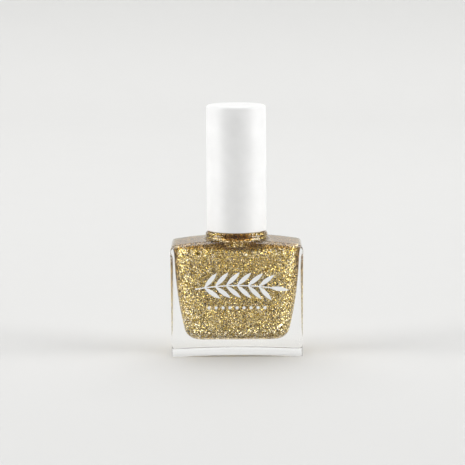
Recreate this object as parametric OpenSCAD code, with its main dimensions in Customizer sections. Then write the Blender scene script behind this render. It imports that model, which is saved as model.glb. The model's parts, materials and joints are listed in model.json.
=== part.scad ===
// Nail polish bottle: a flat, heavy-walled glass bottle of glitter polish, closed by a tall
// white screw cap that carries the brush. Millimetres, +Z up, front face towards -Y, and the
// origin at the centre of the base, on the surface that the bottle stands on.

/* [Glass body] */
// Width of the glass body, side to side
body_w = 34.2; // [33.6:0.1:36]
// Depth of the glass body, front to back
body_d = 18.6; // [18.2:0.1:20]
// Height of the body at the middle of its crowned shoulder
body_h = 30; // [29.6:0.1:30.4]
// Radius of the four upright edges
corner_r = 0.8; // [0.6:0.1:1.4]
// Radius of the edges at the two ends of the shoulder
shoulder_r = 1.3; // [1:0.1:1.8]
// Radius of the edges along the front and back of the shoulder
brow_r = 3; // [2:0.1:3.4]
// Radius of the edges round the base
foot_r = 0.25; // [0.2:0.05:0.8]
// How much the body narrows on each side from its shoulder to its base
draft = 0.25; // [0.05:0.05:0.4]
// Radius of the crown across the shoulder
crown_r = 106; // [90:1:160]
// Thickness of the glass under the polish
floor_t = 3.95; // [3.6:0.05:5]

/* [Neck] */
// Radius of the round collar under the cap
collar_r = 8.1; // [7.9:0.05:8.3]
// Height of the collar's top above the base
collar_top = 31.6; // [31.45:0.05:31.7]
// Radius of the fillet between the collar and the shoulder
flare_r = 1.1; // [0.9:0.05:1.15]
// Radius of the neck between the threads
neck_r = 5.65; // [5.5:0.05:5.7]
// Radius over the glass thread
thread_r = 6.4; // [6.2:0.05:6.45]
// Radius of the hole down the neck
bore_r = 3.9; // [3.6:0.05:4.1]
// Height of the lip above the base
lip_z = 42.6; // [42.4:0.1:42.8]
// Rise of the thread in one turn, 12 threads to the inch
pitch = 2.117; // [2.1:0.001:2.13]
// Turns of thread, which is how far the cap turns to come free
thread_turns = 1.5; // [1.25:0.05:1.5]

/* [Cap] */
// Outer radius of the cap
cap_r = 7.75; // [7.7:0.05:7.9]
// Height of the cap's lower rim above the base
cap_foot = 31.85; // [31.8:0.05:32.2]
// Height of the cap's top above the base
cap_top = 64.5; // [63:0.5:68]
// Wall of the outer cap
cap_wall = 0.62; // [0.6:0.01:0.66]
// Radius of the edge round the cap's top
cap_edge_r = 0.8; // [0.4:0.1:1.2]

/* [Brush] */
// Radius of the stem
stem_r = 1.35; // [1.25:0.05:1.5]
// Height of the stem's lower end above the base
stem_foot = 19; // [18:0.5:21]
// Widest radius of the tuft of bristles
tuft_r = 1.75; // [1.6:0.05:1.8]
// Gap from the tuft's tip to the glass under it
tip_gap = 0.7; // [0.5:0.1:1.2]

/* [Contents] */
// Height of the surface of the polish above the base
polish_level = 31.6; // [31:0.1:31.8]
// Radius of each mixing ball
ball_r = 2; // [1.75:0.05:2]
// Distance of each mixing ball from the brush
ball_x = 7.5; // [6.5:0.1:8]
// How far a shaken mixing ball flies up
ball_travel = 17; // [12:1:17]

/* [Printed motif] */
// Thickness of the white enamel print
print_t = 0.05; // [0.04:0.01:0.1]
// Height of the middle of the leaf sprig above the base
sprig_z = 18.6; // [18:0.1:20]
// Pairs of leaves along the sprig
leaf_pairs = 6; // [4:1:7]
// Dots in the row under the sprig
dot_count = 9; // [5:2:13]

/* [Hidden] */
$fn = 96;

overrun = 1; // how far a cutter runs past the face it cuts, or a boss into its block
embed = 0.3; // how far ribs and thread ridges run into the wall they stand on
touch_gap = 0.02; // between faces that rest on each other
swivel_gap = 0.05; // round the brush head, which swivels in the cap
slip_gap = 0.2; // round what moves through the polish

// Inside of the glass
wall_front = 1.6;
wall_side = 1.0;
wall_top = 1.9;
wall_curve_r = 92; // the side walls thicken downwards along this radius
front_share = 0.5; // how much the front and back thicken, against the sides
cavity_top = body_h - wall_top;
cavity_plan_r = 4.5;
cavity_floor_r = 2.6;
cavity_roof_r = 1.6;
throat_r = 6; // the wider hole inside the collar
throat_foot = cavity_top - 3; // its open lower end, inside the body's space
throat_top = 30.1;
throat_cone = 2.3; // height over which it narrows to the neck's hole

// Neck
collar_edge_r = 0.9;
flare_foot = body_h - 0.5; // just under the crown, so that the flare runs into it all round
flare_slope = 0.6; // how far the cone under it widens for each millimetre of fall
bead_z = 33.9;
bead_r = 6.2;
bead_edge_r = 0.5;
lip_edge_r = 0.4;
thread_foot = 36.9; // middle of the ridge at its lower end
ridge_root_w = 1.15;
ridge_crest_w = 0.45;
ridge_sink = 0.05; // a ridge fades until its crest lies this deep in its wall
thread_drop = 0.8; // the cap's ridge runs this far under the glass one

// Arch under the base
arch_rise = 0.4;
strip_w = 1.8; // from each end of the body to the start of the arch

// Inner cap
cap_bore_r = 6.5; // between the cap's threads
cap_thread_r = 5.82;
skirt_r = 7.05;
spline_r = cap_r - cap_wall - touch_gap;
spline_w = 0.5;
spline_count = 24;
spline_lead = 1; // the splines start this far above the skirt's rim
skirt_foot = cap_foot + 0.4;
ceiling_t = 1.25;
tower_r = 6.1;
tower_wall = 0.9;
tower_top = cap_top - 3.5; // short of the outer cap's roof
rib_count = 8;
rib_w = 0.7;
cap_roof_t = 1.3;
cap_foot_r = 0.25;

// The stack on the lip: seal ring, brush flange, ceiling of the inner cap
seal_t = 0.7;
seal_r = 5.7;
seal_foot = lip_z + touch_gap;
flange_t = 0.8;
flange_foot = seal_foot + seal_t + touch_gap;
ceiling_foot = flange_foot + flange_t + touch_gap;
ceiling_top = ceiling_foot + ceiling_t;

// Brush
collar_stem_r = 1.75; // thicker top of the stem, which the seal ring grips
collar_stem_foot = 38;
stem_taper = 2;
plug_r = 2.05;
head_r = 2.6;
head_t = 1.1;
socket_r = 1.05;
socket_depth = 3.5;
tuft_foot = floor_t + tip_gap;
tuft_belly = 9.5; // height of the tuft's widest place
anchor = [1.9, 0.3, 1.1];
anchor_top = stem_foot + socket_depth - 0.2;

// Rectangle with rounded corners, centred
module rounded_rect(w, d, r) {
    square([w - 2 * r, d], center = true);
    square([w, d - 2 * r], center = true);
    for (x = [-1, 1], y = [-1, 1])
        translate([x * (w / 2 - r), y * (d / 2 - r)]) circle(r);
}

// Upright slab, w wide at height h and foot_w wide at its foot, whose edges are rounded
module footed_outline(w, foot_w, h) {
    polygon([[w / 2, h], [-w / 2, h], [-foot_w / 2, foot_r], [foot_w / 2, foot_r]]);
    translate([-foot_w / 2 + foot_r, 0]) square([foot_w - 2 * foot_r, h]);
    for (x = [-1, 1]) translate([x * (foot_w / 2 - foot_r), foot_r]) circle(foot_r);
}

// The shoulder's side edge is an arc that runs smoothly into the crown
edge_x = body_w / 2 - shoulder_r;
edge_z = body_h - crown_r + sqrt(pow(crown_r - shoulder_r, 2) - edge_x * edge_x);
crown_x = edge_x * crown_r / (crown_r - shoulder_r);

// Front view of the body
module front_outline() {
    footed_outline(body_w, body_w - 2 * draft, edge_z);
    for (x = [-1, 1]) translate([x * edge_x, edge_z]) circle(shoulder_r);
    intersection() {
        translate([0, body_h - crown_r]) circle(crown_r, $fn = 720);
        translate([-crown_x, body_h / 2]) square([2 * crown_x, body_h]);
    }
}

// Wheel as deep as the body, whose rounded rim is the crown with its front and back edges
module crown_wheel() {
    translate([0, 0, body_h - crown_r]) rotate([90, 0, 0]) rotate_extrude($fn = 720) {
        translate([0, -body_d / 2]) square([crown_r - brow_r, body_d]);
        translate([0, brow_r - body_d / 2]) square([crown_r, body_d - 2 * brow_r]);
        for (y = [-1, 1]) translate([crown_r - brow_r, y * (body_d / 2 - brow_r)])
            circle(brow_r);
    }
}

// The glass block before it is hollowed
module body_block() {
    intersection() {
        linear_extrude(body_h) rounded_rect(body_w, body_d, corner_r);
        rotate([90, 0, 0]) linear_extrude(body_d + overrun, center = true) front_outline();
        rotate([90, 0, 90]) linear_extrude(body_w + overrun, center = true)
            footed_outline(body_d, body_d, body_h);
        crown_wheel();
    }
}

// Shallow arch that runs through the base from front to back. The bottle stands on both its ends.
module base_arch() {
    half = body_w / 2 - strip_w;
    arch_r = (half * half + arch_rise * arch_rise) / (2 * arch_rise);
    translate([0, 0, arch_rise - arch_r]) rotate([90, 0, 0])
        cylinder(h = body_d + overrun, r = arch_r, center = true, $fn = 720);
}

// Fillet that flares the collar out into the shoulder, and on down to the front and back faces
module collar_flare() {
    foot = body_h - brow_r;
    flare_top = flare_foot + flare_r;
    reach = collar_r + flare_r;
    intersection() {
        rotate_extrude() difference() {
            polygon([[collar_r - overrun, foot], [reach + (flare_foot - foot) * flare_slope, foot],
                [reach, flare_foot], [reach, flare_top], [collar_r - overrun, flare_top]]);
            translate([reach, flare_top]) circle(flare_r);
        }
        cube([body_w, body_d - 2 * touch_gap, 3 * body_h], center = true);
    }
}

// How far the inner wall stands in at height z: thickening wall, then floor and roof radii
function wall_in(z) = pow(cavity_top - z, 2) / (2 * wall_curve_r);
function round_in(rise, r) = rise >= r ? 0 : r - sqrt(r * r - pow(r - rise, 2));
function edge_in(z) = round_in(z - floor_t, cavity_floor_r)
    + round_in(cavity_top - z, cavity_roof_r);
cavity_levels = concat(
    [for (a = [0:15:75]) floor_t + cavity_floor_r * (1 - cos(a))],
    [for (i = [0:6]) floor_t + cavity_floor_r
        + i / 6 * (cavity_top - cavity_roof_r - floor_t - cavity_floor_r)],
    [for (a = [15:15:90]) cavity_top - cavity_roof_r * (1 - sin(a))]);

// Space inside the body, made smaller by gap all round
module cavity(gap = 0) {
    slab = 0.01;
    hull() for (z = cavity_levels) {
        side_in = wall_side + edge_in(z) + wall_in(z) + gap;
        front_in = wall_front + edge_in(z) + front_share * wall_in(z) + gap;
        lift = z < (floor_t + cavity_top) / 2 ? gap : -gap - slab;
        translate([0, 0, z + lift]) linear_extrude(slab)
            rounded_rect(body_w - 2 * side_in, body_d - 2 * front_in,
                max(cavity_plan_r - edge_in(z), cavity_plan_r / 3), $fn = 32);
    }
}

// Hole from the body's space up through the collar and neck, made smaller by gap
module throat(gap, top) {
    intersection() {
        rotate_extrude() polygon([[0, throat_foot], [throat_r - gap, throat_foot],
            [throat_r - gap, throat_top], [bore_r - gap, throat_top + throat_cone],
            [bore_r - gap, lip_z + overrun], [0, lip_z + overrun]]);
        cylinder(h = top, r = throat_r + overrun);
    }
}

// Points of one cross-section of a thread ridge, at angle t, with its crest at radius crest
function ridge_ring(t, z, root, crest) = [for (p = [[root, -ridge_root_w / 2],
    [crest, -ridge_crest_w / 2], [crest, ridge_crest_w / 2], [root, ridge_root_w / 2]])
    [p[0] * cos(t), p[0] * sin(t), z + p[1]]];

// Right-handed ridge that fades into its wall at both ends. root lies inside the wall.
module thread_ridge(root, crest, wall, foot) {
    step = 10;
    fade = 40;
    sweep = 360 * thread_turns;
    inward = crest < root;
    hidden = wall + (inward ? ridge_sink : -ridge_sink);
    rings = [for (t = [0:step:sweep])
        let (part = min(1, t / fade, (sweep - t) / fade))
        ridge_ring(t, foot + pitch * t / 360, root, hidden + part * (crest - hidden))];
    last = len(rings) - 1;
    faces = concat(
        [for (i = [0:last - 1], j = [0:3]) let (k = (j + 1) % 4)
            [4 * i + j, 4 * i + k, 4 * i + 4 + k]],
        [for (i = [0:last - 1], j = [0:3]) let (k = (j + 1) % 4)
            [4 * i + j, 4 * i + 4 + k, 4 * i + 4 + j]],
        [[2, 1, 0], [3, 2, 0]],
        [[4 * last, 4 * last + 1, 4 * last + 2], [4 * last, 4 * last + 2, 4 * last + 3]]);
    polyhedron([for (r = rings) each r],
        [for (f = faces) inward ? [f[2], f[1], f[0]] : f], convexity = 8);
}

// Round disc from z = 0 with its upper edge rounded
module rounded_disc(r, h, edge) {
    rotate_extrude() {
        square([r - edge, h]);
        square([r, h - edge]);
        translate([r - edge, h - edge]) circle(edge);
    }
}

module glass_bottle() {
    color("white", 0.35) difference() {
        union() {
            body_block();
            translate([0, 0, body_h - brow_r])
                rounded_disc(collar_r, collar_top - body_h + brow_r, collar_edge_r);
            collar_flare();
            translate([0, 0, collar_top - overrun])
                rounded_disc(neck_r, lip_z - collar_top + overrun, lip_edge_r);
            translate([0, 0, bead_z]) rotate_extrude()
                union() {
                    translate([neck_r - overrun, -bead_edge_r])
                        square([bead_r - bead_edge_r - neck_r + overrun, 2 * bead_edge_r]);
                    translate([bead_r - bead_edge_r, 0]) circle(bead_edge_r);
                }
            thread_ridge(neck_r - embed, thread_r, neck_r, thread_foot);
        }
        cavity();
        throat(0, lip_z + overrun);
        base_arch();
    }
}

// The liquid, with the room that the brush and the mixing balls take in it
module polish() {
    brush_room = tuft_r + slip_gap;
    ball_room = ball_r + slip_gap;
    color("goldenrod") difference() {
        union() {
            cavity(touch_gap);
            throat(touch_gap, polish_level);
        }
        translate([0, 0, tuft_foot - 2 * slip_gap]) cylinder(h = lip_z, r = brush_room);
        for (x = [-1, 1]) translate([x * ball_x, 0, floor_t - overrun])
            cylinder(h = overrun + touch_gap + 2 * ball_room + ball_travel, r = ball_room);
    }
}

module mixing_ball(side) {
    color("silver") translate([side * ball_x, 0, floor_t + 2 * touch_gap + ball_r])
        sphere(ball_r);
}

// Flat leaf of a given length and width, lying along +X from the origin
module leaf(length, width) {
    arc_r = (length * length / 4 + width * width / 4) / width;
    translate([length / 2, 0]) intersection() {
        translate([0, arc_r - width / 2]) circle(arc_r);
        translate([0, width / 2 - arc_r]) circle(arc_r);
    }
}

// A leafy twig with a row of dots under it, in white enamel on the front of the glass
module printed_motif() {
    twig_r = 62;
    twig_w = 0.3;
    leaf_l = 5;
    leaf_w = 1.15;
    leaf_angle = 42;
    pair_angle = 2.6; // from one pair of leaves to the next, round the twig's arc
    dot_r = 0.4;
    dot_step = 1.8;
    dots_z = 12.8;
    spread = leaf_pairs * pair_angle;
    color("white") translate([0, -body_d / 2, 0]) rotate([90, 0, 0])
        linear_extrude(print_t) union() {
            translate([0, sprig_z - twig_r]) {
                for (i = [0:leaf_pairs - 1], side = [-1, 1]) {
                    turn = spread / 2 - i * pair_angle;
                    rotate(turn) translate([0, twig_r])
                        rotate(side * leaf_angle) leaf(leaf_l, leaf_w);
                }
                rotate(-spread / 2) translate([0, twig_r]) leaf(leaf_l, leaf_w);
                intersection() {
                    difference() {
                        circle(twig_r + twig_w / 2, $fn = 360);
                        circle(twig_r - twig_w / 2, $fn = 360);
                    }
                    rotate(-spread / 2 - 0.5) mirror([1, 0])
                        translate([0, twig_r / 2]) square([body_w, twig_r]);
                    rotate(spread / 2 + 2.2) translate([0, twig_r / 2])
                        square([body_w, twig_r]);
                }
            }
            for (i = [0:dot_count - 1])
                translate([(i - (dot_count - 1) / 2) * dot_step, dots_z]) circle(dot_r);
        }
}

module seal_ring() {
    color("ivory") translate([0, 0, seal_foot]) difference() {
        cylinder(h = seal_t, r = seal_r);
        translate([0, 0, -overrun])
            cylinder(h = seal_t + 2 * overrun, r = collar_stem_r + swivel_gap);
    }
}

// The slot that the anchor is pressed into
module anchor_block(gap = 0) {
    translate([0, 0, anchor_top - anchor[2] / 2])
        cube([anchor[0] + 2 * gap, anchor[1] + 2 * gap, anchor[2] + 2 * gap], center = true);
}

module brush_stem() {
    head_foot = ceiling_top + swivel_gap;
    color("white") difference() {
        rotate_extrude() polygon([[0, stem_foot], [stem_r, stem_foot],
            [stem_r, collar_stem_foot - stem_taper], [collar_stem_r, collar_stem_foot],
            [collar_stem_r, flange_foot], [seal_r, flange_foot],
            [seal_r, flange_foot + flange_t], [plug_r, flange_foot + flange_t],
            [plug_r, head_foot], [head_r, head_foot], [plug_r, head_foot + head_t],
            [0, head_foot + head_t]]);
        translate([0, 0, stem_foot - overrun])
            cylinder(h = socket_depth + overrun, r = socket_r);
        anchor_block(touch_gap);
    }
}

// The nylon bristles as one closed bundle, folded over the anchor in the stem's socket
module bristle_tuft() {
    root_r = socket_r - touch_gap;
    tip_r = tuft_r * 0.55;
    dome = [for (a = [0:15:75])
        [tip_r + (tuft_r - tip_r) * sin(a), tuft_foot + (tuft_belly - tuft_foot) * (1 - cos(a))]];
    color("dimgray") difference() {
        rotate_extrude() polygon(concat([[0, tuft_foot]], dome, [[tuft_r, tuft_belly],
            [root_r, stem_foot], [root_r, stem_foot + socket_depth - touch_gap],
            [0, stem_foot + socket_depth - touch_gap]]));
        anchor_block(touch_gap);
    }
}

module bristle_anchor() {
    color("silver") anchor_block();
}

module inner_cap() {
    color("whitesmoke") difference() {
        union() {
            translate([0, 0, skirt_foot]) cylinder(h = ceiling_top - skirt_foot, r = skirt_r);
            translate([0, 0, ceiling_foot]) cylinder(h = tower_top - ceiling_foot, r = tower_r);
            for (i = [0:spline_count - 1]) rotate(i * 360 / spline_count)
                translate([skirt_r - embed, -spline_w / 2, skirt_foot + spline_lead])
                    cube([spline_r - skirt_r + embed, spline_w,
                        ceiling_top - skirt_foot - spline_lead]);
            for (i = [0:rib_count - 1]) rotate(i * 360 / rib_count)
                translate([tower_r - embed, -rib_w / 2, ceiling_top - embed])
                    cube([spline_r - tower_r + embed, rib_w, tower_top - ceiling_top]);
        }
        difference() {
            translate([0, 0, -overrun])
                cylinder(h = ceiling_foot + overrun, r = cap_bore_r);
            thread_ridge(cap_bore_r + embed, cap_thread_r, cap_bore_r,
                thread_foot - thread_drop);
        }
        translate([0, 0, ceiling_foot - overrun])
            cylinder(h = ceiling_t + 2 * overrun, r = plug_r + swivel_gap);
        translate([0, 0, ceiling_top])
            cylinder(h = tower_top, r = tower_r - tower_wall);
    }
}

module overcap() {
    inner_r = cap_r - cap_wall;
    color("white") rotate_extrude() difference() {
        union() {
            translate([0, cap_foot + cap_foot_r])
                square([cap_r, cap_top - cap_foot - cap_foot_r - cap_edge_r]);
            translate([0, cap_foot]) square([cap_r - cap_foot_r, 2 * cap_foot_r]);
            translate([0, cap_top - 2 * cap_edge_r])
                square([cap_r - cap_edge_r, 2 * cap_edge_r]);
            translate([cap_r - cap_foot_r, cap_foot + cap_foot_r]) circle(cap_foot_r);
            translate([cap_r - cap_edge_r, cap_top - cap_edge_r]) circle(cap_edge_r);
        }
        translate([-overrun, cap_foot - overrun])
            square([inner_r + overrun, cap_top - cap_roof_t - cap_foot + overrun]);
    }
}

glass_bottle();
polish();
mixing_ball(-1);  // mixing_ball_left
mixing_ball(1);  // mixing_ball_right
printed_motif();
seal_ring();
brush_stem();
bristle_tuft();
bristle_anchor();
inner_cap();
overcap();
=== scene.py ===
"""Looks of the glitter nail polish bottle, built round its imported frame.

Metres, +Z up, the bottle's front towards -Y. A size times MM is given in millimetres.
"""

import json
import math
import random

import bmesh
import bpy
from mathutils import Euler, Matrix, Vector


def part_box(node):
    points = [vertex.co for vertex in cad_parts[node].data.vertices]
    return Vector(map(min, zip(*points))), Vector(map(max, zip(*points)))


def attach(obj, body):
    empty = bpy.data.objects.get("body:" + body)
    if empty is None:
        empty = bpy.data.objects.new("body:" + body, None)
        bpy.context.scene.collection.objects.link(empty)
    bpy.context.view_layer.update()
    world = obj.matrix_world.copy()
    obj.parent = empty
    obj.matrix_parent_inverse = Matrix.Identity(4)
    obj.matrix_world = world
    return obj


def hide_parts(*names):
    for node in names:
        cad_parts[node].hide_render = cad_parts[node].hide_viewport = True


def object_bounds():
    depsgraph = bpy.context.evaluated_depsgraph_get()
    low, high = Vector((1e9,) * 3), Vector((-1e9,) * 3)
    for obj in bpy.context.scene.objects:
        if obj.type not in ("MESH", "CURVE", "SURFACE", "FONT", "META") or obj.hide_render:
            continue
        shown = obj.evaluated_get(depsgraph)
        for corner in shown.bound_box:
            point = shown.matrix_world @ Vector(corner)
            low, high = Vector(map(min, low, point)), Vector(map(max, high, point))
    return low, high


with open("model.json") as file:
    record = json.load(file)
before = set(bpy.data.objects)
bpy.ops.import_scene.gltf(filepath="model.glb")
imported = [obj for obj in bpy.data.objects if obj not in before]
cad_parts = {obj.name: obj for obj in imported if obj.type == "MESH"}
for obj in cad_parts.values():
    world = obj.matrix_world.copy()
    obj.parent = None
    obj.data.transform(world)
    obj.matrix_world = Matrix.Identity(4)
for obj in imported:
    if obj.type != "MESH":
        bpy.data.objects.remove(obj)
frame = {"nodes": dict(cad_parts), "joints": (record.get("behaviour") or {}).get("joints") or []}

cad_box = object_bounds()

MM = 0.001


def box_size(node):
    """Size of a CAD node's box."""
    low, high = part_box(node)
    return high - low


# ---------------------------------------------------------------- sizes, from the frame

glass_size = box_size("glass_bottle")
cap_size = box_size("overcap")
polish_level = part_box("polish")[1].z
stem_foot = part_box("brush_stem")[0].z
tuft_low, tuft_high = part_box("bristle_tuft")
anchor_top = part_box("bristle_anchor")[1].z
height = cad_box[1].z

BODY_W = glass_size.x
BODY_D = glass_size.y
LIP_Z = glass_size.z

# Glass body
BODY_H = 30 * MM
CORNER_R = 0.8 * MM
TIGHTEST_CORNER_R = 0.25 * MM
SHOULDER_R = 1.3 * MM
BROW_R = 3.0 * MM
FOOT_R = 0.25 * MM
FOOT_EDGE_R = 0.15 * MM
DRAFT = 0.25 * MM
CROWN_R = 106 * MM
ARCH_RISE = 0.4 * MM
STRIP_W = 1.8 * MM

# Space for the polish
FLOOR_Z = 3.95 * MM
CAVITY_TOP = BODY_H - 1.9 * MM
WALL_SIDE = 1.0 * MM
WALL_FRONT = 1.6 * MM
WALL_CURVE_R = 92 * MM
FRONT_SHARE = 0.5
CAVITY_CORNER_R = 4.5 * MM
CAVITY_FLOOR_R = 2.6 * MM
CAVITY_ROOF_R = 1.6 * MM

# Collar, neck and thread
COLLAR_R = 8.1 * MM
COLLAR_TOP = 31.6 * MM
COLLAR_EDGE_R = 0.9 * MM
FLARE_R = 1.1 * MM
FLARE_FOOT = BODY_H - 0.5 * MM
FLARE_SLOPE = 0.6
NECK_R = 5.65 * MM
NECK_FILLET_R = 0.3 * MM
BEAD_Z = 33.9 * MM
BEAD_HALF_H = 0.6 * MM
BEAD_RISE = 0.55 * MM
BEAD_CLEAR = 0.75 * MM
THREAD_RISE = 0.75 * MM
THREAD_FOOT = 36.9 * MM
PITCH = 2.117 * MM
THREAD_TURNS = 1.5
RIDGE_ROOT_W = 1.15 * MM
RIDGE_CREST_W = 0.45 * MM
RIDGE_FADE_TURNS = 0.11
LIP_EDGE_R = 0.4 * MM
BORE_R = 3.9 * MM
THROAT_R = 6.0 * MM
THROAT_TOP = 30.1 * MM
THROAT_CONE = 2.3 * MM
THROAT_FILLET_R = 0.3 * MM

# Polish: it reaches this far into the glass, so that no film of air shows between them
WET = 0.04 * MM
BRUSH_ROOM_R = 1.95 * MM
BALL_SKIN = 0.04 * MM
TUFT_CLEAR = 0.4 * MM

# Cap
CAP_WALL = 0.62 * MM
CAP_EDGE_R = 0.8 * MM
CAP_FOOT_R = 0.25 * MM
CAP_RIM_R = 0.1 * MM
CAP_INNER_R = 0.3 * MM
CAP_ROOF = 1.3 * MM

# How finely the meshes are divided
LONG_STEPS = 64
SHORT_STEPS = 32
CORNER_STEPS = 12
BASE_STEPS = 12
EDGE_STEPS = 6
SHOULDER_STEPS = 40
COLLAR_STEPS = 10
FILLET_STEPS = 5
BEAD_STEPS = 7
THREAD_STEPS = 52
LIP_STEPS = 7
ROOF_STEPS = 6
ROOF_EDGE_STEPS = 8
WALL_STEPS = 14
FLOOR_EDGE_STEPS = 10
SURFACE_STEPS = 5
CAP_STEPS = 192
CAP_EDGE_STEPS = 12
CAP_FOOT_STEPS = 6
CAP_RIM_STEPS = 3
CAP_INNER_STEPS = 4
BALL_STEPS = 32


# ---------------------------------------------------------------- mesh helpers

LARGE_FACES_FIRST = 90  # of 100: keeps the flat sides flat right up to their rounded edges
AXIS_R = 1e-6  # stands for a radius of nought, so that a ring on the axis keeps its points


def finish_mesh(name, bm, body, material):
    """Makes a smooth object of a bmesh, which rides on a CAD body."""
    bmesh.ops.recalc_face_normals(bm, faces=bm.faces)
    mesh = bpy.data.meshes.new(name)
    bm.to_mesh(mesh)
    bm.free()
    for polygon in mesh.polygons:
        polygon.use_smooth = True
    piece = bpy.data.objects.new(name, mesh)
    bpy.context.collection.objects.link(piece)
    mesh.materials.append(material)
    weighted = piece.modifiers.new("even_normals", "WEIGHTED_NORMAL")
    weighted.keep_sharp = True
    weighted.weight = LARGE_FACES_FIRST
    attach(piece, body)
    return piece


def loft(bm, rings):
    """Skins a run of rings that all have the same number of points, and closes both its ends."""
    rows = [[bm.verts.new(point) for point in ring] for ring in rings]
    for lower, upper in zip(rows, rows[1:]):
        for i in range(len(lower)):
            j = (i + 1) % len(lower)
            bm.faces.new((lower[i], lower[j], upper[j], upper[i]))
    bm.faces.new(rows[0][::-1])
    bm.faces.new(rows[-1])


def arc(middle, radius, start, end, steps):
    """Points (r, z) along an arc in a profile, from one angle to another, in degrees."""
    turn = [math.radians(start + (end - start) * i / steps) for i in range(steps + 1)]
    return [(middle[0] + radius * math.cos(a), middle[1] + radius * math.sin(a)) for a in turn]


def circle_ring(radius, z, steps, x=0.0, y=0.0):
    """One level ring of evenly spaced points."""
    turn = [2 * math.pi * i / steps for i in range(steps)]
    return [Vector((x + radius * math.cos(a), y + radius * math.sin(a), z)) for a in turn]


def turned(bm, profile, steps, x=0.0):
    """Turns a profile of (r, z) points, which starts and ends on the axis, round an upright axis."""
    loft(bm, [circle_ring(max(r, AXIS_R), z, steps, x) for r, z in profile])


def rounded_outline(width, depth, corner):
    """One turn of a rounded rectangle as (x, y), with its points always in the same order."""
    reach_x = width / 2 - corner
    reach_y = depth / 2 - corner
    middles = [(reach_x, reach_y), (-reach_x, reach_y), (-reach_x, -reach_y), (reach_x, -reach_y)]
    arcs = [
        arc(middle, corner, 90 * i, 90 * i + 90, CORNER_STEPS)
        for i, middle in enumerate(middles)
    ]
    points = []
    for i, corner_points in enumerate(arcs):
        points += corner_points
        start_x, start_y = corner_points[-1]
        end_x, end_y = arcs[(i + 1) % 4][0]
        steps = LONG_STEPS if i % 2 == 0 else SHORT_STEPS
        for k in range(1, steps):
            share = k / steps
            points.append((start_x + (end_x - start_x) * share, start_y + (end_y - start_y) * share))
    return points


BODY_OUTLINE = rounded_outline(BODY_W, BODY_D, CORNER_R)


def body_ring(inset, z):
    """Ring round the glass body, a distance in from its sides. z may be a function of x and y."""
    corner = max(CORNER_R - inset, TIGHTEST_CORNER_R)
    points = rounded_outline(BODY_W - 2 * inset, BODY_D - 2 * inset, corner)
    ring = []
    for x, y in points:
        level = z(x, y) if callable(z) else z
        narrow = 1 - 2 * DRAFT / BODY_W * max(1 - level / (BODY_H - SHOULDER_R), 0.0)
        ring.append(Vector((x * narrow, y, level)))
    return ring


def round_ring(radius, z):
    """Ring whose points lie in the same directions as the body's. radius may depend on the turn."""
    ring = []
    for x, y in BODY_OUTLINE:
        reach = math.hypot(x, y)
        unit_x = x / reach
        unit_y = y / reach
        r = radius(math.atan2(unit_y, unit_x)) if callable(radius) else radius
        ring.append(Vector((r * unit_x, r * unit_y, z)))
    return ring


def round_rings(profile):
    """One round ring for each (r, z) point of a profile."""
    return [round_ring(r, z) for r, z in profile]


def morph(first, last, share):
    """Ring between two rings."""
    return [a.lerp(b, share) for a, b in zip(first, last)]


# ---------------------------------------------------------------- the glass


def crown(x):
    """Height of the crowned shoulder, without its edges."""
    return BODY_H - CROWN_R + math.sqrt(CROWN_R * CROWN_R - x * x)


def rounded_drop(edge, radius):
    """How far a rounded edge has fallen at a distance from the side it ends in."""
    if edge >= radius:
        return 0.0
    return radius - math.sqrt(max(radius**2 - (radius - max(edge, 0.0)) ** 2, 0.0))


def flare(r):
    """Height of the fillet round the collar, and of the cone that it runs down into."""
    reach = COLLAR_R + FLARE_R
    if r > reach:
        return FLARE_FOOT - (r - reach) / FLARE_SLOPE
    return FLARE_FOOT + FLARE_R - math.sqrt(max(FLARE_R**2 - (reach - r) ** 2, 0.0))


def shoulder_surface(x, y):
    """Height of the shoulder, with its rounded edges and the flare that leads to the collar."""
    end_drop = rounded_drop(BODY_W / 2 - abs(x), SHOULDER_R)
    brow_drop = rounded_drop(BODY_D / 2 - abs(y), BROW_R)
    shoulder = crown(x) - max(end_drop, brow_drop)
    collar = flare(math.hypot(x, y))
    soft = 0.25 * MM
    apart = max(soft - abs(shoulder - collar), 0.0) / soft
    return max(shoulder, collar) + apart * apart * soft / 4


def base_arch(x):
    """Height of the shallow arch that runs through the base from front to back."""
    along = min(abs(x) / (BODY_W / 2 - STRIP_W), 1.0)
    return ARCH_RISE * (1 - along**2)


def base_rings():
    """From the middle of the arched base out to its edge, and round that edge."""
    edge = body_ring(FOOT_EDGE_R, 0.0)
    rings = []
    for i in range(1, BASE_STEPS + 1):
        share = i / BASE_STEPS
        rings.append([Vector((p.x * share, p.y * share, base_arch(p.x * share))) for p in edge])
    for i in range(1, EDGE_STEPS + 1):
        turn = math.radians(90 * i / EDGE_STEPS)
        inset = FOOT_EDGE_R * (1 - math.sin(turn))
        rise = FOOT_EDGE_R * (1 - math.cos(turn))
        rings.append(body_ring(inset, lambda x, y, r=rise: base_arch(x) + r))
    return rings


def side_rings():
    """Up the sides and over the rounded edges of the shoulder, to the foot of the collar."""
    rings = []
    for share in (0.03, 0.25, 0.5, 0.75, 0.9):  # of the way up the flat part of the sides
        rings.append(
            body_ring(0.0, lambda x, y, part=share: FOOT_R + part * (crown(x) - BROW_R - FOOT_R))
        )
    edge = body_ring(0.0, BODY_H)
    foot = round_ring(COLLAR_R, BODY_H)
    for i in range(SHOULDER_STEPS):
        share = 0.5 - 0.5 * math.cos(math.pi * i / SHOULDER_STEPS)
        ring = morph(edge, foot, share)
        rings.append([Vector((p.x, p.y, shoulder_surface(p.x, p.y))) for p in ring])
    return rings


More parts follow.
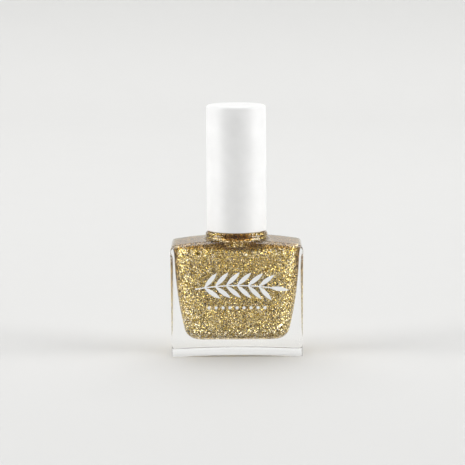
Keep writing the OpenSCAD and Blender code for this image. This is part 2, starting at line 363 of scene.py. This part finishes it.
def ridge(turn, z):
    """How far the thread stands out of the neck at a place on it, with its ends faded out."""
    rise = 0.0
    for lap in range(-1, 3):
        along = lap + (turn % (2 * math.pi)) / (2 * math.pi)
        fade = min(1.0, along / RIDGE_FADE_TURNS, (THREAD_TURNS - along) / RIDGE_FADE_TURNS)
        if fade <= 0:
            continue
        off = abs(z - THREAD_FOOT - PITCH * along)
        flank = (RIDGE_ROOT_W / 2 - off) / ((RIDGE_ROOT_W - RIDGE_CREST_W) / 2)
        share = max(0.0, min(1.0, flank))
        rise = max(rise, fade * THREAD_RISE * share * share * (3 - 2 * share))
    return rise


def neck_rings():
    """The collar, the neck with its bead and thread, and over the lip to the bore."""
    rings = [round_ring(COLLAR_R, FLARE_FOOT + FLARE_R)]
    middle = (COLLAR_R - COLLAR_EDGE_R, COLLAR_TOP - COLLAR_EDGE_R)
    rings += round_rings(arc(middle, COLLAR_EDGE_R, 0, 90, COLLAR_STEPS))
    rings.append(round_ring(NECK_R + NECK_FILLET_R + 0.05 * MM, COLLAR_TOP))
    middle = (NECK_R + NECK_FILLET_R, COLLAR_TOP + NECK_FILLET_R)
    rings += round_rings(arc(middle, NECK_FILLET_R, 270, 180, FILLET_STEPS))
    rings.append(round_ring(NECK_R, BEAD_Z - BEAD_CLEAR))
    for k in range(-BEAD_STEPS, BEAD_STEPS + 1):
        share = k / BEAD_STEPS
        swell = BEAD_RISE * (0.5 + 0.5 * math.cos(math.pi * share))
        rings.append(round_ring(NECK_R + swell, BEAD_Z + share * BEAD_HALF_H))
    low = THREAD_FOOT - RIDGE_ROOT_W
    high = THREAD_FOOT + PITCH * THREAD_TURNS + RIDGE_ROOT_W / 2
    for k in range(THREAD_STEPS + 1):
        z = low + (high - low) * k / THREAD_STEPS
        rings.append(round_ring(lambda turn, z=z: NECK_R + ridge(turn, z), z))
    middle = (NECK_R - LIP_EDGE_R, LIP_Z - LIP_EDGE_R)
    rings += round_rings(arc(middle, LIP_EDGE_R, 0, 90, LIP_STEPS))
    middle = (BORE_R + LIP_EDGE_R, LIP_Z - LIP_EDGE_R)
    rings += round_rings(arc(middle, LIP_EDGE_R, 90, 180, LIP_STEPS))
    return rings


def wall_in(z):
    """How much thicker than at its top the side wall is at height z."""
    return max(CAVITY_TOP - z, 0.0) ** 2 / (2 * WALL_CURVE_R)


def cavity_ring(z, edge, grow):
    """Ring round the inside of the body at height z, moved outwards by grow."""
    side = WALL_SIDE + edge + wall_in(z) - grow
    front = WALL_FRONT + edge + FRONT_SHARE * wall_in(z) - grow
    corner = max(CAVITY_CORNER_R - edge, CAVITY_CORNER_R / 3)
    outline = rounded_outline(BODY_W - 2 * side, BODY_D - 2 * front, corner)
    return [Vector((x, y, z)) for x, y in outline]


def cavity_rings(grow):
    """From the throat down the inside of the body to its floor, moved outwards by grow."""
    roof = CAVITY_TOP + grow
    rings = [round_ring(BORE_R + grow, THROAT_TOP + THROAT_CONE)]
    rings.append(round_ring(THROAT_R + grow, THROAT_TOP))
    rings.append(round_ring(THROAT_R + grow, roof + THROAT_FILLET_R + 0.1 * MM))
    middle = (THROAT_R + THROAT_FILLET_R + grow, roof + THROAT_FILLET_R)
    rings += round_rings(arc(middle, THROAT_FILLET_R, 180, 270, FILLET_STEPS))
    edge_of_roof = cavity_ring(roof, CAVITY_ROOF_R, grow)
    rings += [morph(rings[-1], edge_of_roof, i / ROOF_STEPS) for i in range(1, ROOF_STEPS)]
    for i in range(ROOF_EDGE_STEPS + 1):
        turn = math.radians(90 * i / ROOF_EDGE_STEPS)
        edge = CAVITY_ROOF_R * (1 - math.sin(turn))
        rings.append(cavity_ring(roof - CAVITY_ROOF_R * (1 - math.cos(turn)), edge, grow))
    low = FLOOR_Z + CAVITY_FLOOR_R
    high = CAVITY_TOP - CAVITY_ROOF_R
    for i in range(1, WALL_STEPS + 1):
        rings.append(cavity_ring(high + (low - high) * i / WALL_STEPS, 0.0, grow))
    for i in range(1, FLOOR_EDGE_STEPS + 1):
        turn = math.radians(90 * i / FLOOR_EDGE_STEPS)
        edge = CAVITY_FLOOR_R * (1 - math.cos(turn))
        rings.append(cavity_ring(low - (CAVITY_FLOOR_R + grow) * math.sin(turn), edge, grow))
    inner_share = 0.1  # the last ring of the floor, near its middle
    rings.append([Vector((p.x * inner_share, p.y * inner_share, p.z)) for p in rings[-1]])
    return rings


def build_glass(material):
    """One skin: up the outside from the base, over the lip, and down the inside."""
    bm = bmesh.new()
    loft(bm, base_rings() + side_rings() + neck_rings() + cavity_rings(0.0))
    piece = finish_mesh("clear_glass_bottle", bm, "bottle", material)
    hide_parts("glass_bottle")


# ---------------------------------------------------------------- the polish


def capsule(bm, x, low, high, radius):
    """Closed round-ended skin with its axis upright, at a distance x from the middle."""
    profile = arc((0, low + radius), radius, -90, 0, BALL_STEPS // 4)
    profile += arc((0, high - radius), radius, 0, 90, BALL_STEPS // 4)
    turned(bm, profile, BALL_STEPS, x)


def ball_travel(side):
    """How far the joint of a mixing ball lets it rise."""
    name = "ball_" + side + "_rattle"
    return next(joint for joint in frame["joints"] if joint["name"] == name)["range_m"][1]


def build_polish(material):
    """The liquid, with the room that the brush and the mixing balls take in it left free."""
    level = polish_level
    rings = cavity_rings(WET)[::-1]
    rings = [ring for ring in rings if ring[0].z < level]
    share = (level - THROAT_TOP) / THROAT_CONE
    wall = THROAT_R + (BORE_R - THROAT_R) * share + WET
    rings.append(round_ring(wall, level))
    climb = 0.35 * MM  # how far the liquid climbs up the glass above its level further in
    for k in range(1, SURFACE_STEPS + 1):
        fade = k / SURFACE_STEPS
        r = wall + (BRUSH_ROOM_R + climb - wall) * fade
        rings.append(round_ring(r, level - climb * (1 - (1 - fade) ** 3)))
    rings.append(round_ring(BRUSH_ROOM_R, level - 0.8 * climb))
    tip = tuft_low.z - TUFT_CLEAR
    rings.append(round_ring(BRUSH_ROOM_R, tip + 0.2 * BRUSH_ROOM_R))  # its foot has a chamfer
    rings.append(round_ring(0.9 * BRUSH_ROOM_R, tip))
    bm = bmesh.new()
    loft(bm, rings)
    for side in ("left", "right"):
        low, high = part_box("mixing_ball_" + side)
        x = (low.x + high.x) / 2
        radius = (high.x - low.x) / 2 + BALL_SKIN
        capsule(bm, x, low.z - BALL_SKIN, high.z + ball_travel(side) + BALL_SKIN, radius)
    piece = finish_mesh("glitter_polish", bm, "bottle", material)
    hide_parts("polish")


# ---------------------------------------------------------------- the cap


def build_overcap(material):
    """Smooth sleeve with a rounded top edge and a slightly eased rim."""
    outer = cap_size.x / 2
    inner = outer - CAP_WALL
    top = height
    foot = top - cap_size.z
    roof = top - CAP_ROOF
    strip = 0.05 * MM  # a narrow band of wall beside each rounded edge keeps the wall's shading even
    profile = [(share * outer, top) for share in (0, 0.25, 0.5, 0.75)]
    profile += arc((outer - CAP_EDGE_R, top - CAP_EDGE_R), CAP_EDGE_R, 90, 0, CAP_EDGE_STEPS)
    profile += [(outer, top - CAP_EDGE_R - strip), (outer, foot + CAP_FOOT_R + strip)]
    profile += arc((outer - CAP_FOOT_R, foot + CAP_FOOT_R), CAP_FOOT_R, 0, -90, CAP_FOOT_STEPS)
    profile += arc((inner + CAP_RIM_R, foot + CAP_RIM_R), CAP_RIM_R, -90, -180, CAP_RIM_STEPS)
    profile.append((inner, roof - CAP_INNER_R - 0.1 * MM))
    profile += arc((inner - CAP_INNER_R, roof - CAP_INNER_R), CAP_INNER_R, 0, 90, CAP_INNER_STEPS)
    profile.append((0, roof))
    bm = bmesh.new()
    turned(bm, profile, CAP_STEPS)
    piece = finish_mesh("white_overcap", bm, "cap", material)
    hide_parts("overcap")


# ---------------------------------------------------------------- the brush


def build_bristles(material):
    """Nylon filaments: straight where the anchor grips them, then a belly and a rounded tip."""
    rng = random.Random(7)
    root_z = anchor_top
    foot = tuft_low.z
    belly_r = (tuft_high.x - tuft_low.x) / 2
    filament_r = 0.05 * MM
    root_r = 0.95 * MM
    count = 340
    steps = 12
    sides = 6
    tip_share = 0.45  # thickness of a filament's cut tip, against the rest of it
    golden = math.pi * (3 - math.sqrt(5))  # spreads the filaments evenly over the round
    bm = bmesh.new()
    for i in range(count):
        spread = math.sqrt((i + 0.5) / count)
        turn = i * golden
        jitter = rng.uniform(-0.1, 0.1)
        lift = 0.25 + 2.6 * spread**2.2  # the outer filaments end higher, which rounds the tip
        tip_z = foot + (lift + rng.uniform(0, 0.35)) * MM
        rings = []
        for k in range(steps + 1):
            along = k / steps
            z = root_z + (tip_z - root_z) * along
            belly = math.sin(math.pi * along / 1.35) ** 0.8  # widest two thirds of the way down
            r = spread * (root_r - filament_r + (belly_r - root_r) * belly)
            a = turn + jitter * along
            thick = filament_r * (1.0 if k < steps else tip_share)
            rings.append(circle_ring(thick, z, sides, r * math.cos(a), r * math.sin(a)))
        loft(bm, rings)
    piece = finish_mesh("nylon_bristles", bm, "brush", material)
    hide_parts("bristle_tuft")


# ---------------------------------------------------------------- materials


class Shader:
    """A material with one Principled shader, and short ways to add nodes to it."""

    def __init__(self, name):
        """Starts the material, with the object's own coordinates and its surface at hand."""
        self.material = bpy.data.materials.new(name)
        self.material.use_nodes = True
        self.tree = self.material.node_tree
        self.surface = self.tree.nodes["Principled BSDF"]
        self.place = self.add("TexCoord").outputs["Object"]
        self.geometry = self.add("NewGeometry")

    def add(self, kind, **settings):
        """A new shader node of a kind, with its settings."""
        node = self.tree.nodes.new("ShaderNode" + kind)
        for key, value in settings.items():
            setattr(node, key, value)
        return node

    def link(self, source, target):
        """Links an output to an input."""
        self.tree.links.new(source, target)

    def set(self, **values):
        """Sets sockets of the Principled shader, with _ for a space in a name."""
        for key, value in values.items():
            self.surface.inputs[key.replace("_", " ")].default_value = value

    def maths(self, operation, first, second=None):
        """One sum of values, of which the second may be a plain number."""
        node = self.add("Math", operation=operation)
        self.link(first, node.inputs[0])
        if isinstance(second, (int, float)):
            node.inputs[1].default_value = second
        elif second is not None:
            self.link(second, node.inputs[1])
        return node.outputs[0]

    def split(self, colour):
        """The Red, Green and Blue of a colour."""
        node = self.add("SeparateColor")
        self.link(colour, node.inputs[0])
        return node.outputs

    def split_vector(self, vector):
        """The X, Y and Z of a vector."""
        node = self.add("SeparateXYZ")
        self.link(vector, node.inputs[0])
        return node.outputs

    def noise(self, size, detail=3.0, rough=0.5, vector=None):
        """Soft noise whose features are about size across, in metres."""
        node = self.add("TexNoise")
        node.inputs["Scale"].default_value = 1 / size
        node.inputs["Detail"].default_value = detail
        node.inputs["Roughness"].default_value = rough
        self.link(vector or self.place, node.inputs["Vector"])
        return node.outputs["Fac"]

    def cells(self, size):
        """Voronoi cells of about that size across, in metres, each with a random colour."""
        node = self.add("TexVoronoi")
        node.inputs["Scale"].default_value = 1 / size
        self.link(self.place, node.inputs["Vector"])
        return node.outputs["Color"]

    def ramp(self, factor, stops):
        """Colours or greys for a factor: stops are (place, colour) pairs."""
        node = self.add("ValToRGB")
        ramp = node.color_ramp
        while len(ramp.elements) < len(stops):
            ramp.elements.new(0.5)
        for element, (place, colour) in zip(ramp.elements, stops):
            element.position = place
            grey = isinstance(colour, (int, float))
            element.color = (colour, colour, colour, 1) if grey else (*colour, 1)
        self.link(factor, node.inputs["Fac"])
        return node.outputs["Color"]

    def blend(self, factor, first, second, kind="MIX"):
        """Mixes two colours, either of which may be a plain one."""
        node = self.add("Mix", data_type="RGBA", blend_type=kind)
        self.link(factor, node.inputs[0])
        for socket, colour in ((node.inputs[6], first), (node.inputs[7], second)):
            if isinstance(colour, tuple):
                socket.default_value = (*colour, 1)
            else:
                self.link(colour, socket)
        return node.outputs[2]

    def range(self, factor, low, high):
        """A factor from 0 to 1 spread over another range."""
        node = self.add("MapRange")
        node.inputs["To Min"].default_value = low
        node.inputs["To Max"].default_value = high
        self.link(factor, node.inputs["Value"])
        return node.outputs["Result"]

    def step_range(self, value, start, end):
        """Smooth step from 0 at start to 1 at end."""
        node = self.add("MapRange", interpolation_type="SMOOTHSTEP")
        node.inputs["From Min"].default_value = start
        node.inputs["From Max"].default_value = end
        self.link(value, node.inputs["Value"])
        return node.outputs["Result"]

    def bump(self, factor, depth):
        """Bump of about that depth, in metres."""
        node = self.add("Bump")
        node.inputs["Distance"].default_value = depth
        self.link(factor, node.inputs["Height"])
        self.feed("Normal", node.outputs["Normal"])

    def feed(self, socket, source):
        """Links a value or colour to a socket of the Principled shader."""
        self.link(source, self.surface.inputs[socket])


def glass_material():
    """Clear moulded glass with very slightly wavy faces. Lamps shine through it, but for its foot."""
    s = Shader("clear_glass")
    s.set(Transmission_Weight=1.0, IOR=1.5)
    s.feed("Base Color", s.ramp(s.noise(9 * MM), [(0.3, (0.985, 0.99, 0.985)), (0.7, (1, 1, 1))]))
    s.feed("Roughness", s.range(s.noise(3 * MM, 5), 0.0, 0.012))
    s.bump(s.noise(7 * MM, 1.0), 0.02 * MM)
    lamps = s.add("BsdfTransparent")
    above_foot = s.step_range(s.split_vector(s.place)["Z"], 0.45 * MM, 1.6 * MM)
    s.link(s.ramp(above_foot, [(0.0, 0.1), (1.0, 0.95)]), lamps.inputs["Color"])
    mix = s.add("MixShader")
    s.link(s.add("LightPath").outputs["Is Shadow Ray"], mix.inputs[0])
    s.link(s.surface.outputs[0], mix.inputs[1])
    s.link(lamps.outputs[0], mix.inputs[2])
    s.link(mix.outputs[0], s.tree.nodes["Material Output"].inputs["Surface"])
    return s.material


# Flake colours along the same share that sets how far each flake leans: the flakes differ in colour at
# random, and those that lean least are also painted darker and browner, as painted shade.
GOLD_TONES = [
    (0.0, (0.05, 0.022, 0.001)),
    (0.3, (0.27, 0.135, 0.003)),
    (0.5, (0.84, 0.58, 0.08)),
    (0.75, (0.96, 0.81, 0.4)),
    (1.0, (0.96, 0.9, 0.8)),
]
COARSE_FROM = 0.992  # a coarse cell shows where its random share is above this
# Painted shade, multiplied into the polish's colour: in the middle of the collar, on the roof and high
# on the sides.
COLLAR_PAINTED_SHADE = (0.62, 0.42, 0.2)
ROOF_PAINTED_SHADE = (0.62, 0.5, 0.35)
SIDE_PAINTED_SHADE = (0.4, 0.31, 0.22)


def gold_flakes(s, lean_low, lean_high):
    """Gold flakes, each with random shares of its own that also lean it over. Returns the shares."""
    fine = s.cells(0.17 * MM)
    coarse = s.cells(0.5 * MM)
    few = s.step_range(s.split(coarse)["Red"], COARSE_FROM, COARSE_FROM + 0.001)
    flake = s.blend(few, fine, coarse)
    shares = s.split(flake)
    lean = s.add("VectorMath", operation="SUBTRACT")
    s.link(flake, lean.inputs[0])
    lean.inputs[1].default_value = (0.5, 0.5, 0.5)
    scaled = s.add("VectorMath", operation="SCALE")
    s.link(lean.outputs[0], scaled.inputs[0])
    s.link(s.range(shares["Blue"], lean_low, lean_high), scaled.inputs["Scale"])
    total = s.add("VectorMath", operation="ADD")
    s.link(scaled.outputs[0], total.inputs[0])
    s.link(s.geometry.outputs["Normal"], total.inputs[1])
    unit = s.add("VectorMath", operation="NORMALIZE")
    s.link(total.outputs[0], unit.inputs[0])
    s.feed("Normal", unit.outputs[0])
    return shares


def glitter_material():
    """Gold flakes at all angles, with painted shade in the middle of the collar under the cap, on the
    roof and high on both sides.
    """
    s = Shader("glitter_polish")
    shares = gold_flakes(s, 0.3, 1.6)
    tone = s.ramp(shares["Blue"], GOLD_TONES)
    place = s.split_vector(s.place)
    # Painted shade of the cap over the middle of the collar.
    in_collar = s.step_range(place["Z"], CAVITY_TOP - 0.2 * MM, THROAT_TOP)
    aside = s.maths("ABSOLUTE", place["X"])
    in_middle = s.step_range(aside, 4.6 * MM, 2.2 * MM)
    shade = s.maths("MULTIPLY", in_collar, in_middle)
    tone_with_collar_shade = s.blend(shade, tone, COLLAR_PAINTED_SHADE, "MULTIPLY")
    # Painted shade: faces of the polish that look upwards are made darker.
    facing = s.split_vector(s.geometry.outputs["Normal"])
    roof = s.step_range(facing["Z"], 0.4, 0.9)
    tone_with_roof_shade = s.blend(roof, tone_with_collar_shade, ROOF_PAINTED_SHADE, "MULTIPLY")
    # Painted shade: faces of the polish that look sideways, high up near both ends, are made darker.
    sideways = s.step_range(s.maths("ABSOLUTE", facing["X"]), 0.6, 0.95)
    at_end = s.maths("MULTIPLY", sideways, s.step_range(aside, 8 * MM, 12 * MM))
    high = s.step_range(place["Z"], 12 * MM, CAVITY_TOP - CAVITY_ROOF_R)
    side_shade = s.maths("MULTIPLY", at_end, high)
    s.feed("Base Color", s.blend(side_shade, tone_with_roof_shade, SIDE_PAINTED_SHADE, "MULTIPLY"))
    s.feed("Metallic", s.range(shares["Green"], 0.8, 1.0))
    s.feed("Roughness", s.range(shares["Green"], 0.35, 0.1))
    return s.material


def plastic_material(name, dark, light, gloss, grain):
    """Moulded plastic: slightly mottled colour and sheen, with a fine moulded grain."""
    s = Shader(name)
    s.set(IOR=1.49)
    s.feed("Base Color", s.ramp(s.noise(5 * MM, 4), [(0.3, dark), (0.7, light)]))
    s.feed("Roughness", s.range(s.noise(1.2 * MM, 4), gloss - 0.04, gloss + 0.04))
    s.bump(s.noise(0.18 * MM, 2), grain)
    return s.material


def metal_material(name, dark, light, gloss, brush):
    """Drawn or ground metal with fine scratches along brush."""
    s = Shader(name)
    s.set(Metallic=1.0)
    stretch = s.add("Mapping")
    stretch.inputs["Scale"].default_value = brush
    s.link(s.place, stretch.inputs["Vector"])
    lines = s.noise(0.25 * MM, 4, 0.6, stretch.outputs[0])
    s.feed("Base Color", s.ramp(lines, [(0.3, dark), (0.7, light)]))
    s.feed("Roughness", s.range(lines, gloss, gloss + 0.15))
    s.bump(lines, 0.003 * MM)
    return s.material


def bristle_material():
    """Dark nylon, wet with polish and full of its flakes."""
    s = Shader("nylon_bristles")
    s.set(IOR=1.53)
    shares = gold_flakes(s, 0.2, 1.2)
    nylon = s.ramp(s.noise(0.4 * MM, 4), [(0.3, (0.03, 0.022, 0.012)), (0.7, (0.09, 0.065, 0.028))])
    on_it = s.step_range(shares["Red"], 0.34, 0.38)
    s.feed("Base Color", s.blend(on_it, nylon, s.ramp(shares["Blue"], GOLD_TONES)))
    s.feed("Metallic", on_it)
    s.feed("Roughness", s.range(shares["Blue"], 0.15, 0.4))
    return s.material


def stem_material():
    """Moulded plastic with a wet film of polish, which thins out towards the liquid's level."""
    s = Shader("stem_plastic")
    s.set(IOR=1.49)
    shares = gold_flakes(s, 0.0, 0.35)
    plastic = s.ramp(s.noise(5 * MM, 4), [(0.3, (0.72, 0.72, 0.70)), (0.7, (0.8, 0.8, 0.79))])
    film = s.step_range(s.split_vector(s.place)["Z"], polish_level, stem_foot)
    patches = s.maths("MULTIPLY", film, s.range(s.noise(2.5 * MM, 3), 0.2, 1.6))
    on_it = s.step_range(s.maths("SUBTRACT", patches, shares["Green"]), 0.0, 0.03)
    s.feed("Base Color", s.blend(on_it, plastic, s.ramp(shares["Blue"], GOLD_TONES)))
    s.feed("Metallic", s.range(on_it, 0.0, 0.9))
    s.feed("Roughness", s.range(s.noise(1.2 * MM, 4), 0.22, 0.34))
    return s.material


def dress(node, material):
    """Gives a carried-over CAD node its material."""
    piece = frame["nodes"][node]
    if not piece.material_slots:
        piece.data.materials.append(material)
    for slot in piece.material_slots:
        slot.material = material


# ---------------------------------------------------------------- the object

white = ((0.82, 0.82, 0.815), (0.87, 0.87, 0.865))
cap_white = plastic_material("cap_white", *white, 0.36, 0.0015 * MM)
closure = plastic_material("closure_plastic", (0.76, 0.76, 0.75), (0.82, 0.82, 0.81), 0.45, 0.003 * MM)
enamel = plastic_material("white_enamel", (0.93, 0.93, 0.92), (0.97, 0.97, 0.96), 0.3, 0.004 * MM)
foam = plastic_material("seal_foam", (0.70, 0.69, 0.64), (0.80, 0.79, 0.75), 0.6, 0.02 * MM)
steel = metal_material("ball_steel", (0.45, 0.46, 0.48), (0.66, 0.67, 0.7), 0.12, (1, 1, 1))
wire = metal_material("anchor_metal", (0.5, 0.4, 0.18), (0.74, 0.62, 0.34), 0.25, (1, 6, 1))

build_glass(glass_material())
build_polish(glitter_material())
build_overcap(cap_white)
build_bristles(bristle_material())
dress("printed_motif", enamel)
dress("seal_ring", foam)
dress("brush_stem", stem_material())
dress("bristle_anchor", wire)
dress("inner_cap", closure)
dress("mixing_ball_left", steel)
dress("mixing_ball_right", steel)

# ---------------------------------------------------------------- the studio


def backdrop_material():
    """Matt pale paper with painted shade: darker where it starts to bend up, lighter again above,
    darker far aside.
    """
    shaded_height = 0.2
    s = Shader("pale_paper")
    place = s.split_vector(s.place)
    rise = s.maths("DIVIDE", place["Z"], shaded_height)
    # Painted shade: the paper's colour changes with height.
    wall = s.ramp(rise, [
        (0.0, (0.66, 0.659, 0.65)),
        (0.25, (0.575, 0.574, 0.565)),
        (0.75, (0.51, 0.505, 0.49)),
        (1.0, (0.68, 0.679, 0.67)),
    ])
    # Painted shade far to either side.
    aside = s.step_range(s.maths("ABSOLUTE", place["X"]), 0.2, 1.2)
    s.feed("Base Color", s.blend(aside, wall, (0.4, 0.4, 0.4), "MULTIPLY"))
    s.feed("Roughness", s.range(s.noise(20 * MM, 3), 0.6, 0.7))
    s.set(Specular_IOR_Level=0.2)
    return s.material


def build_backdrop():
    """Pale floor that curves up into a pale wall behind the object."""
    half_width = 3.0
    front = -2.5
    back = 1.1
    bend = 0.4
    bend_steps = 15
    top = 1.6
    floor_gap = 0.03 * MM
    profile = [(front, -floor_gap)]
    profile += arc((back - bend, bend - floor_gap), bend, -90, 0, bend_steps)
    profile += [(back, top)]
    bm = bmesh.new()
    rows = [[bm.verts.new((x, y, z)) for x in (-half_width, half_width)] for y, z in profile]
    for near, far in zip(rows, rows[1:]):
        bm.faces.new((near[0], near[1], far[1], far[0]))
    mesh = bpy.data.meshes.new("backdrop")
    bm.to_mesh(mesh)
    bm.free()
    for polygon in mesh.polygons:
        polygon.use_smooth = True
    backdrop = bpy.data.objects.new("backdrop", mesh)
    bpy.context.collection.objects.link(backdrop)
    mesh.materials.append(backdrop_material())


def softbox(name, azimuth, elevation, size, power):
    """Soft lamp at a bearing from the object: azimuth 0 is in front, 90 to the right."""
    distance = 1.5
    middle = Vector((0, 0, height / 2))
    light = bpy.data.lights.new(name, "AREA")
    light.shape = "RECTANGLE"
    light.size, light.size_y = size
    light.energy = power
    lamp = bpy.data.objects.new(name, light)
    turn = math.radians(azimuth)
    lift = math.radians(elevation)
    level = math.cos(lift)
    offset = Vector((math.sin(turn) * level, -math.cos(turn) * level, math.sin(lift)))
    lamp.location = middle + offset * distance
    lamp.rotation_euler = (-offset).to_track_quat("-Z", "Y").to_euler()
    lamp.visible_camera = False
    bpy.context.collection.objects.link(lamp)


def build_world(strength):
    """Even, pale surroundings."""
    world = bpy.data.worlds.new("studio")
    world.use_nodes = True
    background = world.node_tree.nodes["Background"]
    background.inputs["Color"].default_value = (1, 1, 1, 1)
    background.inputs["Strength"].default_value = strength
    bpy.context.scene.world = world


def build_camera():
    """Long lens a little above the bottle and square to its front, rolled very slightly."""
    view_distance = 0.6813
    view_elevation = math.radians(7.64)
    view_roll = math.radians(0.3)
    aim_x = -1.06 * MM
    aim_share = 0.4826  # of the object's height
    aim = Vector((aim_x, 0, aim_share * height))
    data = bpy.data.cameras.new("camera")
    data.lens = 202.7
    data.sensor_width = 36
    camera = bpy.data.objects.new("camera", data)
    offset = Vector((0, -math.cos(view_elevation), math.sin(view_elevation)))
    camera.location = aim + offset * view_distance
    level = Euler((math.pi / 2 - view_elevation, 0, 0)).to_matrix()
    camera.rotation_euler = (level @ Matrix.Rotation(-view_roll, 3, "Z")).to_euler()
    bpy.context.collection.objects.link(camera)
    bpy.context.scene.camera = camera


build_backdrop()
softbox("left_softbox", -78, 15, (1.0, 1.5), 22)
softbox("right_softbox", 78, 15, (0.95, 1.5), 23)
softbox("back_softbox", 180, 62, (1.5, 1.1), 13.8)
build_world(0.34)
build_camera()
bpy.context.scene.view_settings.view_transform = "Standard"
